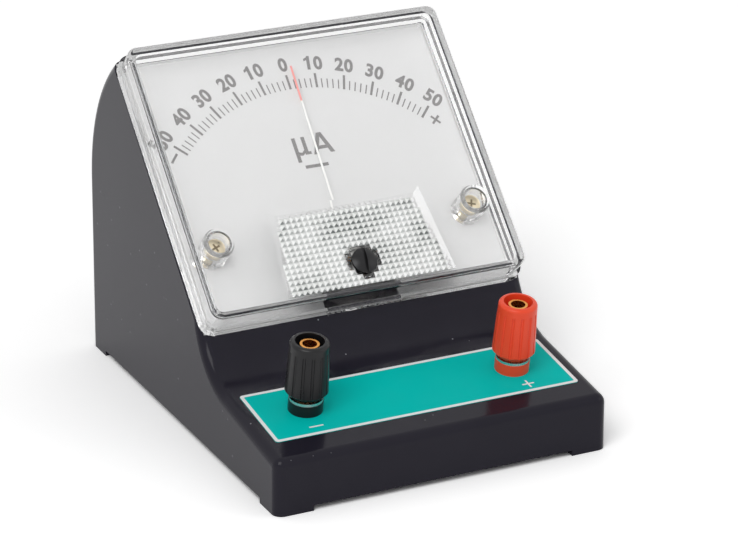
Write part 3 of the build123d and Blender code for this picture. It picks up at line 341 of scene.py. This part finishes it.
# Facets of the window, with painted highlight for the sides that catch the light and painted shade for the
# sides that turn away.
prism_lit = painted_prism_facet("clear_polystyrene_prism_lit", "#F4F5F4", "#E2E4E2")
prism_shaded = painted_prism_facet("clear_polystyrene_prism_shaded", "#CDD0CE", "#6E7472")

BY_SLOT = {
    "black_abs": black_abs,
    "clear_acrylic": clear_polystyrene(),
    "dial_paint": dial_lacquer,
    "label_green": label_green,
    "black_plastic": cap_black,
    "red_plastic": cap_red,
    "brass": brass,
    "nickel": nickel,
    "zinc_steel": zinc,
    "aluminium": aluminium,
    "needle_paint": needle_enamel(),
    "copper": wound_wire(),
    "iron": iron,
    "magnet": magnet,
    "fibre": fibre,
}

PLATED = (
    "zero_lever",
    "front_bridge",
    "rear_bridge",
    "bridge_posts",
    "front_jewel_screw",
    "rear_jewel_screw",
    "balance_weights",
    "stop_pins",
)

for part in frame["record"]["subparts"]:
    materials = nodes[part["node"]].data.materials
    materials.clear()
    materials.append(plated if part["node"] in PLATED else BY_SLOT[part["material_slot"]])


# Lettering and print, in millimetres on the plane that carries it


def tick(angle, inner, outer, width):
    """A radial tick's four corners: r (sin a, cos a) at both radii, half a width to each side."""
    turn = math.radians(angle)
    along = np.array([math.sin(turn), math.cos(turn)])
    side = np.array([along[1], -along[0]]) * width / 2
    return [inner * along - side, inner * along + side, outer * along + side, outer * along - side]


def bar(x, y, width, height, turn=0.0):
    """A bar's four corners: half its width and half its height to each side of its middle."""
    a = math.radians(turn)
    along = np.array([math.cos(a), -math.sin(a)]) * width / 2
    up = np.array([math.sin(a), math.cos(a)]) * height / 2
    middle = np.array([x, y])
    return [middle - along - up, middle + along - up, middle + along + up, middle - along + up]


def plus(x, y, size, width, turn=0.0):
    """A plus sign of twelve corners: the crossing of two bars, about a middle point."""
    a, b = size / 2, width / 2
    quarter = np.array([(b, b), (b, a), (-b, a)])
    turned = [quarter @ np.array([(c, s), (-s, c)]) for c, s in ((1, 0), (0, 1), (-1, 0), (0, -1))]
    loop = np.concatenate(turned)
    points = np.column_stack([loop, np.zeros(len(loop))])
    return points, [tuple(range(len(loop)))], x, y, turn


def drawn_letter(loops, height):
    """A letter drawn as polygons on a height of one, scaled and set about its own middle."""
    points = np.concatenate([np.array(loop, dtype=float) for loop in loops])
    ends = np.cumsum([len(loop) for loop in loops])
    faces = [tuple(range(int(end) - len(loop), int(end))) for loop, end in zip(loops, ends)]
    points = (points - (points.min(0) + points.max(0)) / 2) * height
    return np.column_stack([points, np.zeros(len(points))]), faces


def numeral(text):
    """Bold digits as flat points and faces about their own middle, at the numerals' height."""
    curve = bpy.data.curves.new("numeral", "FONT")
    curve.body = text
    curve.size = 1.0
    curve.offset = NUMERAL_WEIGHT
    curve.space_character = NUMERAL_SPACING
    curve.resolution_u = 6
    holder = made_object("numeral", curve)
    graph = bpy.context.evaluated_depsgraph_get()
    mesh = bpy.data.meshes.new_from_object(holder.evaluated_get(graph))
    points = np.empty(len(mesh.vertices) * 3)
    mesh.vertices.foreach_get("co", points)
    points = points.reshape(-1, 3)
    faces = [tuple(face.vertices) for face in mesh.polygons]
    bpy.data.objects.remove(holder)
    bpy.data.curves.remove(curve)
    bpy.data.meshes.remove(mesh)
    low, high = points.min(0), points.max(0)
    scale = NUMERAL_HEIGHT / (high[1] - low[1])
    return (points - (low + high) / 2) * scale * np.array([NUMERAL_SQUEEZE, 1, 0]), faces


def printed(name, matrix, parts, material):
    """One flat mesh from (points, faces, x, y, turn clockwise) parts, just above a plane."""
    all_points, all_faces, count = [], [], 0
    for points, faces, x, y, turn in parts:
        a = math.radians(-turn)
        spin = np.array([[math.cos(a), -math.sin(a), 0], [math.sin(a), math.cos(a), 0], [0, 0, 1]])
        all_points.append(np.asarray(points) @ spin.T + np.array([x, y, INK_LIFT]))
        all_faces += [tuple(int(corner) + count for corner in face) for face in faces]
        count += len(points)
    mesh = bpy.data.meshes.new(name)
    mesh.from_pydata(placed(matrix, np.concatenate(all_points) * MM).tolist(), [], all_faces)
    mesh.materials.append(material)
    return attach(made_object(name, mesh), "case")


# Print on the dial, with radii from the pivot and heights from the lower edge of the cover's face

PIVOT_UP = 16.05
INK_LIFT = 0.03
SCALE_INNER = 51.95
MAJOR_OUTER = 56.56
MINOR_OUTER = 54.9
MAJOR_WIDTH = 0.7
MINOR_WIDTH = 0.36
STEP_ANGLE = 8.95
STEPS_EACH_SIDE = 5
TICKS_PER_STEP = 5
UNITS_PER_STEP = 10
NUMERAL_RADIUS = 59.9
NUMERAL_HEIGHT = 4.4
NUMERAL_WEIGHT = 0.038
NUMERAL_SPACING = 1.1
NUMERAL_SQUEEZE = 0.92
ONE_LEFT = 0.42 * NUMERAL_HEIGHT
ZERO_RIGHT = 0.336 * NUMERAL_HEIGHT
UNIT_BAR_X, UNIT_BAR_UP, UNIT_BAR_LENGTH, UNIT_BAR_WIDTH = 0.05, 43.5, 7.1, 1.0
SIGN_STROKE = 0.7
PLUS_ANGLE, PLUS_RADIUS, PLUS_SIZE = 48.7, 53.9, 3.4
MINUS_ANGLE, MINUS_RADIUS, MINUS_LENGTH = -48.2, 54.7, 3.5
MICRO_X, MICRO_UP, MICRO_HEIGHT = -2.7, 49.0, 5.6
AMPERE_X, AMPERE_UP, AMPERE_HEIGHT = 3.6, 50.2, 6.6

# The one, the micro sign and the capital A have shapes of their own on this dial: a flag on the
# one, a tail on the micro sign and a flat apex on the A. Points are shares of the height.
ONE = [[(0.2, 0), (0.42, 0), (0.42, 1), (0.26, 1), (0.2, 0.9), (0, 0.78), (0, 0.6), (0.2, 0.7)]]
CAPITAL_A = [
    [(0, 0), (0.21, 0), (0.5, 0.8), (0.5, 1), (0.39, 1)],
    [(1, 0), (0.61, 1), (0.5, 1), (0.5, 0.8), (0.79, 0)],
    [(0.29, 0.22), (0.71, 0.22), (0.65, 0.38), (0.35, 0.38)],
]
MICRO = [
    [(0, -0.38), (0.2, -0.38), (0.2, 1), (0, 1)],
    [(0.52, 0), (0.72, 0), (0.72, 1), (0.52, 1)],
    [(0.2, 0), (0.36, -0.03), (0.52, 0.08), (0.52, 0.28), (0.36, 0.14), (0.2, 0.2)],
    [(0.72, 0), (0.86, 0), (0.86, 0.16), (0.72, 0.16)],
]


def on_arc(angle, radius):
    """The point at an angle clockwise from the middle of the scale: r (sin a, cos a)."""
    return radius * math.sin(math.radians(angle)), radius * math.cos(math.radians(angle))


def scale_print():
    """Ticks, numbers, unit and signs of the scale, as flat ink on the dial."""
    bars = []
    last = STEPS_EACH_SIDE * TICKS_PER_STEP
    for index in range(-last, last + 1):
        major = index % TICKS_PER_STEP == 0
        outer, width = (MAJOR_OUTER, MAJOR_WIDTH) if major else (MINOR_OUTER, MINOR_WIDTH)
        bars.append(tick(index * STEP_ANGLE / TICKS_PER_STEP, SCALE_INNER, outer, width))
    bars.append(bar(UNIT_BAR_X, UNIT_BAR_UP - PIVOT_UP, UNIT_BAR_LENGTH, UNIT_BAR_WIDTH))
    bars.append(bar(*on_arc(MINUS_ANGLE, MINUS_RADIUS), MINUS_LENGTH, SIGN_STROKE, MINUS_ANGLE))
    parts = [(*strips(bars), 0, 0, 0)]
    parts.append(plus(*on_arc(PLUS_ANGLE, PLUS_RADIUS), PLUS_SIZE, SIGN_STROKE, PLUS_ANGLE))
    for step in range(-STEPS_EACH_SIDE, STEPS_EACH_SIDE + 1):
        angle = step * STEP_ANGLE
        x, y = on_arc(angle, NUMERAL_RADIUS)
        if abs(step) == 1:
            across = np.array(on_arc(angle + 90, 1.0))
            parts.append((*drawn_letter(ONE, NUMERAL_HEIGHT), *((x, y) - across * ONE_LEFT), angle))
            parts.append((*numeral("0"), *((x, y) + across * ZERO_RIGHT), angle))
        else:
            parts.append((*numeral(str(abs(step) * UNITS_PER_STEP)), x, y, angle))
    parts.append((*drawn_letter(MICRO, MICRO_HEIGHT), MICRO_X, MICRO_UP - PIVOT_UP, 0))
    parts.append((*drawn_letter(CAPITAL_A, AMPERE_HEIGHT), AMPERE_X, AMPERE_UP - PIVOT_UP, 0))
    return printed("dial_print", DIAL, parts, scale_ink)


scale_print()


# Print on the label, about the label's own middle

BORDER = 1.0
CORNER = 1.0
INNER_CORNER = 0.4
LABEL_SIGN_UP = -8.45
LABEL_SIGN_STROKE = 0.55
LABEL_PLUS_X, LABEL_PLUS_SIZE = 31.8, 3.6
LABEL_MINUS_X, LABEL_MINUS_LENGTH = -32.3, 4.1


def rounded_loop(half_x, half_y, radius, steps=8):
    """Points round a rectangle, anticlockwise: a quarter circle about each corner's centre."""
    quarter = np.linspace(0, math.pi / 2, steps)
    loop = []
    for turn, (sx, sy) in enumerate(((1, 1), (-1, 1), (-1, -1), (1, -1))):
        a = quarter + turn * math.pi / 2
        x = sx * (half_x - radius) + radius * np.cos(a)
        y = sy * (half_y - radius) + radius * np.sin(a)
        loop.append(np.column_stack([x, y]))
    return np.concatenate(loop)


def label_print():
    """White border and the two signs, as flat ink on the label."""
    half_x = LABEL_HALF / MM
    half_y = (LABEL_HIGH - LABEL_LOW) / MM / 2
    outer = rounded_loop(half_x, half_y, CORNER)
    inner = rounded_loop(half_x - BORDER, half_y - BORDER, INNER_CORNER)
    band = np.concatenate([inner, outer])
    points = np.column_stack([band, np.zeros(len(band))])
    parts = [(points, band_faces(len(outer)), 0, 0, 0)]
    parts.append(plus(LABEL_PLUS_X, LABEL_SIGN_UP, LABEL_PLUS_SIZE, LABEL_SIGN_STROKE))
    minus = bar(LABEL_MINUS_X, LABEL_SIGN_UP, LABEL_MINUS_LENGTH, LABEL_SIGN_STROKE)
    parts.append((*strips([minus]), 0, 0, 0))
    return printed("label_print", LABEL, parts, label_white)


label_print()


# Recesses of the two cover screws, about the pivot

SCREW_X = 39.5
SCREW_ABOVE_PIVOT = 6.05
RECESS_SIZE = 2.6
RECESS_WIDTH = 0.55
RECESS_TURN = 20.0
SCREW_TOP = reach("cover_screws", FACE_OUT)[1]


def screw_recesses():
    """A small cross-shaped recess in each cover screw, drawn as its shaded floor."""
    heads = plane_at(on_plane(PIVOT, FACE_OUT, SCREW_TOP), FACE_OUT)
    crosses = []
    for side in (-1, 1):
        turn = side * RECESS_TURN
        crosses.append(plus(side * SCREW_X, SCREW_ABOVE_PIVOT, RECESS_SIZE, RECESS_WIDTH, turn))
    return printed("cover_screw_recesses", heads, crosses, recess)


screw_recesses()


# Prisms of the window, with heights from the lower edge of the cover's face and depths behind it.
# The cover's own pyramids have this pitch, height and floor, and the facets lie just above them.

WINDOW_LOW = 2.2
WINDOW_HIGH = 28.6
WINDOW_FLOOR_LOW = 0.55
WINDOW_FLOOR_HIGH = 1.5
WINDOW_HALF_LOW = 25.9
WINDOW_HALF_HIGH = 23.2
CHEEK_SLANT = 1.73
CHEEK_OVERLAP = 0.4
PRISM_PITCH = 1.7
PRISM_HEIGHT = 0.5
PRISM_LIFT = 0.03
PRISM_ROWS = 14
PRISM_COLUMNS = 30
ADJUSTER_UP = 9.3
ADJUSTER_CLEAR = 5.0
COVER_DEPTH = 10.0
CELL_CORNERS = np.array([(-1, -1), (1, -1), (1, 1), (-1, 1), (0, 0)])
CELL_RISE = (0, 0, 0, 0, PRISM_HEIGHT)
CELL_FACETS = np.array([(0, 1, 4), (1, 2, 4), (2, 3, 4), (3, 0, 4)])
# The lower facet of each pyramid takes the painted shade, the other three the painted highlight.
SHADED_FIRST = [1, 0, 0, 0]


def floor_depth(up):
    """The depth of the window's floor, which grows evenly with the height."""
    slope = (WINDOW_FLOOR_HIGH - WINDOW_FLOOR_LOW) / (WINDOW_HIGH - WINDOW_LOW)
    return WINDOW_FLOOR_LOW + slope * (up - WINDOW_LOW)


def prism_middles():
    """Middles of the square cells, a pitch apart, that lie between the slanted cheeks.

    The mouth's half width shrinks evenly with the height, and the cheeks take off the floor's
    depth times their slant. Cells under the adjuster are left out.
    """
    columns = np.arange(PRISM_COLUMNS) - PRISM_COLUMNS / 2
    i, j = np.meshgrid(columns, np.arange(PRISM_ROWS), indexing="ij")
    x = (i.ravel() + 0.5) * PRISM_PITCH
    y = WINDOW_LOW + (j.ravel() + 0.5) * PRISM_PITCH
    share = (y - WINDOW_LOW) / (WINDOW_HIGH - WINDOW_LOW)
    mouth = WINDOW_HALF_LOW + (WINDOW_HALF_HIGH - WINDOW_HALF_LOW) * share
    reaches = np.abs(x) + PRISM_PITCH / 2
    inside = reaches < mouth - floor_depth(y) * CHEEK_SLANT + CHEEK_OVERLAP
    clear = np.hypot(x, y - ADJUSTER_UP) > ADJUSTER_CLEAR
    return np.column_stack([x, y])[inside & clear]


def window_prisms():
    """The four facets of each small square pyramid on the window's sloping floor.

    A cell's corners lie half a pitch to each side of its middle, at the floor's depth, and its
    peak stands over the middle by the prism's height.
    """
    middles = prism_middles()
    flat = middles[:, None, :] + CELL_CORNERS[None] * PRISM_PITCH / 2
    height = np.array(CELL_RISE) + PRISM_LIFT - floor_depth(flat[..., 1])
    local = np.concatenate([flat, height[..., None]], axis=-1).reshape(-1, 3)
    local[:, 1] -= PIVOT_UP
    front = on_plane(PIVOT, FACE_OUT, DIAL_TOP) + FACE_OUT * COVER_DEPTH * MM
    first = np.arange(len(middles))[:, None, None] * len(CELL_CORNERS)
    faces = (first + CELL_FACETS[None]).reshape(-1, 3)
    mesh = bpy.data.meshes.new("window_prisms")
    mesh.from_pydata(placed(plane_at(front, FACE_OUT), local * MM).tolist(), [], faces.tolist())
    mesh.materials.append(prism_lit)
    mesh.materials.append(prism_shaded)
    mesh.polygons.foreach_set("material_index", np.tile(SHADED_FIRST, len(middles)))
    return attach(made_object("window_prisms", mesh), "case")


window_prisms()


# Stage, light and camera, in metres

FLOOR_HALF = 4.0
FLOOR_PATCH_MM = 300.0
# Above one, so that the floor comes out white under these lamps and its shadow stays.
FLOOR_SEEN = 1.45
WORLD_LIGHT = 0.54
WORLD_SEEN = 1.0
TARGET = Vector((0, 0, 0.045))
# Each lamp's name, place, side and power in watts.
LAMPS = (
    ("key_upper_left", (-0.9, -0.8, 1.3), 0.9, 10.0),
    ("fill_right", (1.3, -0.9, 0.9), 0.8, 1.6),
)
PHOTO_WIDTH, PHOTO_HEIGHT = 738, 551
PHOTO_MIDDLE = (340.24, 247.05)
FOCAL_PIXELS = 3218.0
SENSOR_MM = 36.0
CAMERA_PLACE = Vector((-0.3645, -0.7558, 0.3744))


def seen_rays(tree):
    """One for the rays that show a thing itself, by eye, by mirror or through glass, else zero."""
    path = add(tree, "ShaderNodeLightPath").outputs
    values = {0: path["Is Camera Ray"], 1: path["Is Glossy Ray"]}
    seen = add(tree, "ShaderNodeMath", values, operation="MAXIMUM").outputs[0]
    values = {0: seen, 1: path["Is Transmission Ray"]}
    return add(tree, "ShaderNodeMath", values, operation="MAXIMUM").outputs[0]


def turned_to_target(place):
    """The turn that points a lamp or a camera from its place at the target."""
    return (TARGET - Vector(place)).to_track_quat("-Z", "Y").to_euler()


def floor():
    """A plain painted floor that is white where it is seen and keeps the object's shadow."""
    material, tree, place = new_material("pale_floor_painted_smooth")
    tone = drifting_tone(tree, place, FLOOR_PATCH_MM, 2.0, "#FBFBFB", "#F8F8F8")
    values = {0: seen_rays(tree), 6: tone, 7: (FLOOR_SEEN, FLOOR_SEEN, FLOOR_SEEN, 1.0)}
    tone = add(tree, "ShaderNodeMix", values, data_type="RGBA").outputs[2]
    shader = add(tree, "ShaderNodeBsdfDiffuse", {"Color": tone}).outputs[0]
    add(tree, "ShaderNodeOutputMaterial", {"Surface": shader})
    signs = ((-1, -1, 0), (1, -1, 0), (1, 1, 0), (-1, 1, 0))
    mesh = bpy.data.meshes.new("floor")
    mesh.from_pydata((np.array(signs) * FLOOR_HALF).tolist(), [], [(0, 1, 2, 3)])
    mesh.materials.append(material)
    made_object("floor", mesh)


def surroundings():
    """White all round where it is seen, and a soft plain light on the object."""
    world = bpy.data.worlds.new("white_surroundings")
    bpy.context.scene.world = world
    world.use_nodes = True
    tree = world.node_tree
    tree.nodes.clear()
    values = {"Value": seen_rays(tree), "To Min": WORLD_LIGHT, "To Max": WORLD_SEEN}
    strength = add(tree, "ShaderNodeMapRange", values).outputs["Result"]
    values = {"Color": colour("#FFFFFF"), "Strength": strength}
    background = add(tree, "ShaderNodeBackground", values).outputs[0]
    add(tree, "ShaderNodeOutputWorld", {"Surface": background})


def lamps():
    """A large soft key from the upper left and a weak fill from the right."""
    for name, place, size, watts in LAMPS:
        light = bpy.data.lights.new(name, "AREA")
        light.shape = "SQUARE"
        light.size = size
        light.energy = watts
        lamp = made_object(name, light)
        lamp.location = place
        lamp.rotation_euler = turned_to_target(place)


def camera():
    """The photograph's own view: place, lens and small shift solved from the case's edges."""
    data = bpy.data.cameras.new("photo_camera")
    data.sensor_width = SENSOR_MM
    data.lens = FOCAL_PIXELS / PHOTO_WIDTH * SENSOR_MM
    data.shift_x = (PHOTO_WIDTH / 2 - PHOTO_MIDDLE[0]) / PHOTO_WIDTH
    data.shift_y = (PHOTO_MIDDLE[1] - PHOTO_HEIGHT / 2) / PHOTO_WIDTH
    made = made_object("photo_camera", data)
    made.location = CAMERA_PLACE
    made.rotation_euler = turned_to_target(CAMERA_PLACE)
    bpy.context.scene.camera = made


floor()
surroundings()
lamps()
camera()
bpy.context.scene.view_settings.view_transform = "Standard"
